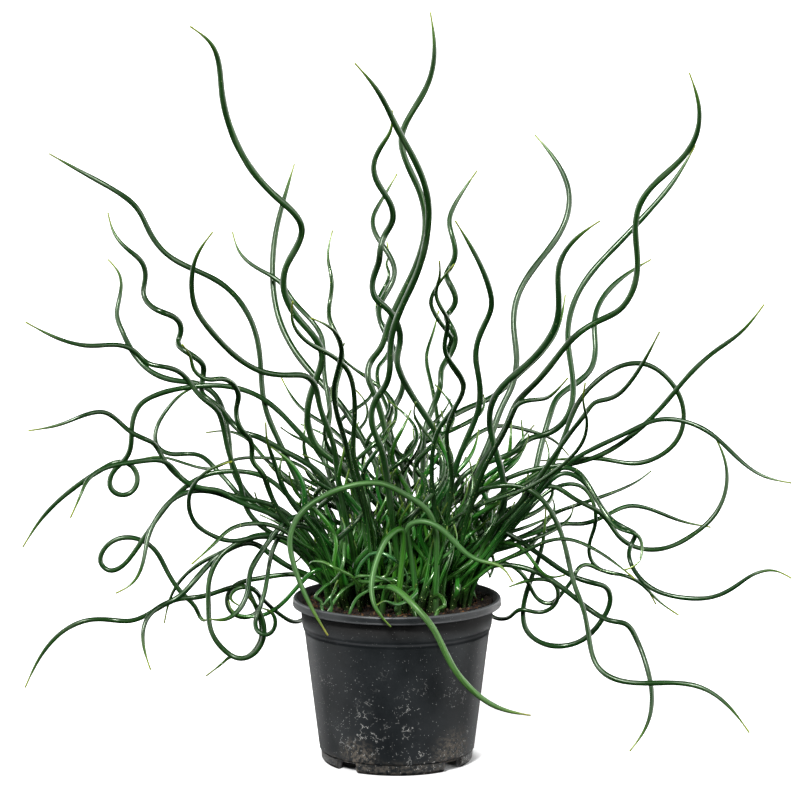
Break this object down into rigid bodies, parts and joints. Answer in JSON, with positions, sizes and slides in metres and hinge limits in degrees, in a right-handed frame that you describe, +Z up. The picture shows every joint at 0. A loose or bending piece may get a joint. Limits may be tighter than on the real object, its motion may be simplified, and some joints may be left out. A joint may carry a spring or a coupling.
{
  "type": "potted plant",
  "caption": "Corkscrew rush in a round nursery pot: thin round stems coil and arch out of peaty soil to fine tips, over a tapered black pot with a rolled rim.",
  "frame": {"origin": "middle of the pot's foot, on the surface that it stands on", "axes": "+X across the plant, towards the side of the big curls on the right, +Y away from the front, +Z up"},
  "size_m": [0.4801, 0.3819, 0.4669],
  "materials": {
    "pot": "satin charcoal black with pale dust specks, hairline scuffs and dried soil low down",
    "soil": "matt dark brown damp peat with orange-brown fibres and crumbs",
    "stem": "glossy very dark green, finely ridged along its length, straw yellow at the tip",
    "light_stem": "satin light yellow-green, straw towards the tip",
    "young_stem": "satin mid green, paler at the base, straw yellow at the tip"
  },
  "bodies": {
    "root": {"pot": "pot", "soil": "soil", "stem_01": "stem", "stem_02": "stem", "stem_03": "stem", "stem_04": "stem", "stem_05": "stem", "stem_06": "stem", "stem_07": "stem", "stem_08": "stem", "stem_09": "stem", "stem_10": "stem", "stem_11": "stem", "stem_12": "stem", "stem_13": "stem", "stem_14": "stem", "stem_15": "stem", "stem_16": "stem", "stem_17": "stem", "stem_18": "stem", "stem_19": "stem", "stem_20": "stem", "stem_21": "stem", "stem_22": "stem", "stem_23": "stem", "stem_24": "stem", "stem_25": "stem", "stem_26": "stem", "stem_27": "stem", "stem_28": "stem", "stem_29": "stem", "stem_30": "stem", "stem_31": "stem", "stem_32": "stem", "stem_33": "stem", "stem_34": "stem", "stem_35": "stem", "stem_36": "stem", "stem_37": "stem", "stem_38": "stem", "stem_39": "stem", "stem_40": "stem", "stem_41": "stem", "stem_42": "stem", "stem_43": "light_stem", "stem_44": "light_stem", "stem_45": "light_stem", "stem_46": "light_stem", "tuft_01": "young_stem", "tuft_02": "young_stem", "tuft_03": "young_stem", "tuft_04": "young_stem", "tuft_05": "young_stem", "tuft_06": "young_stem", "tuft_07": "young_stem", "tuft_08": "young_stem", "tuft_09": "young_stem", "tuft_10": "young_stem", "tuft_11": "young_stem", "tuft_12": "young_stem"}
  },
  "joints": []
}
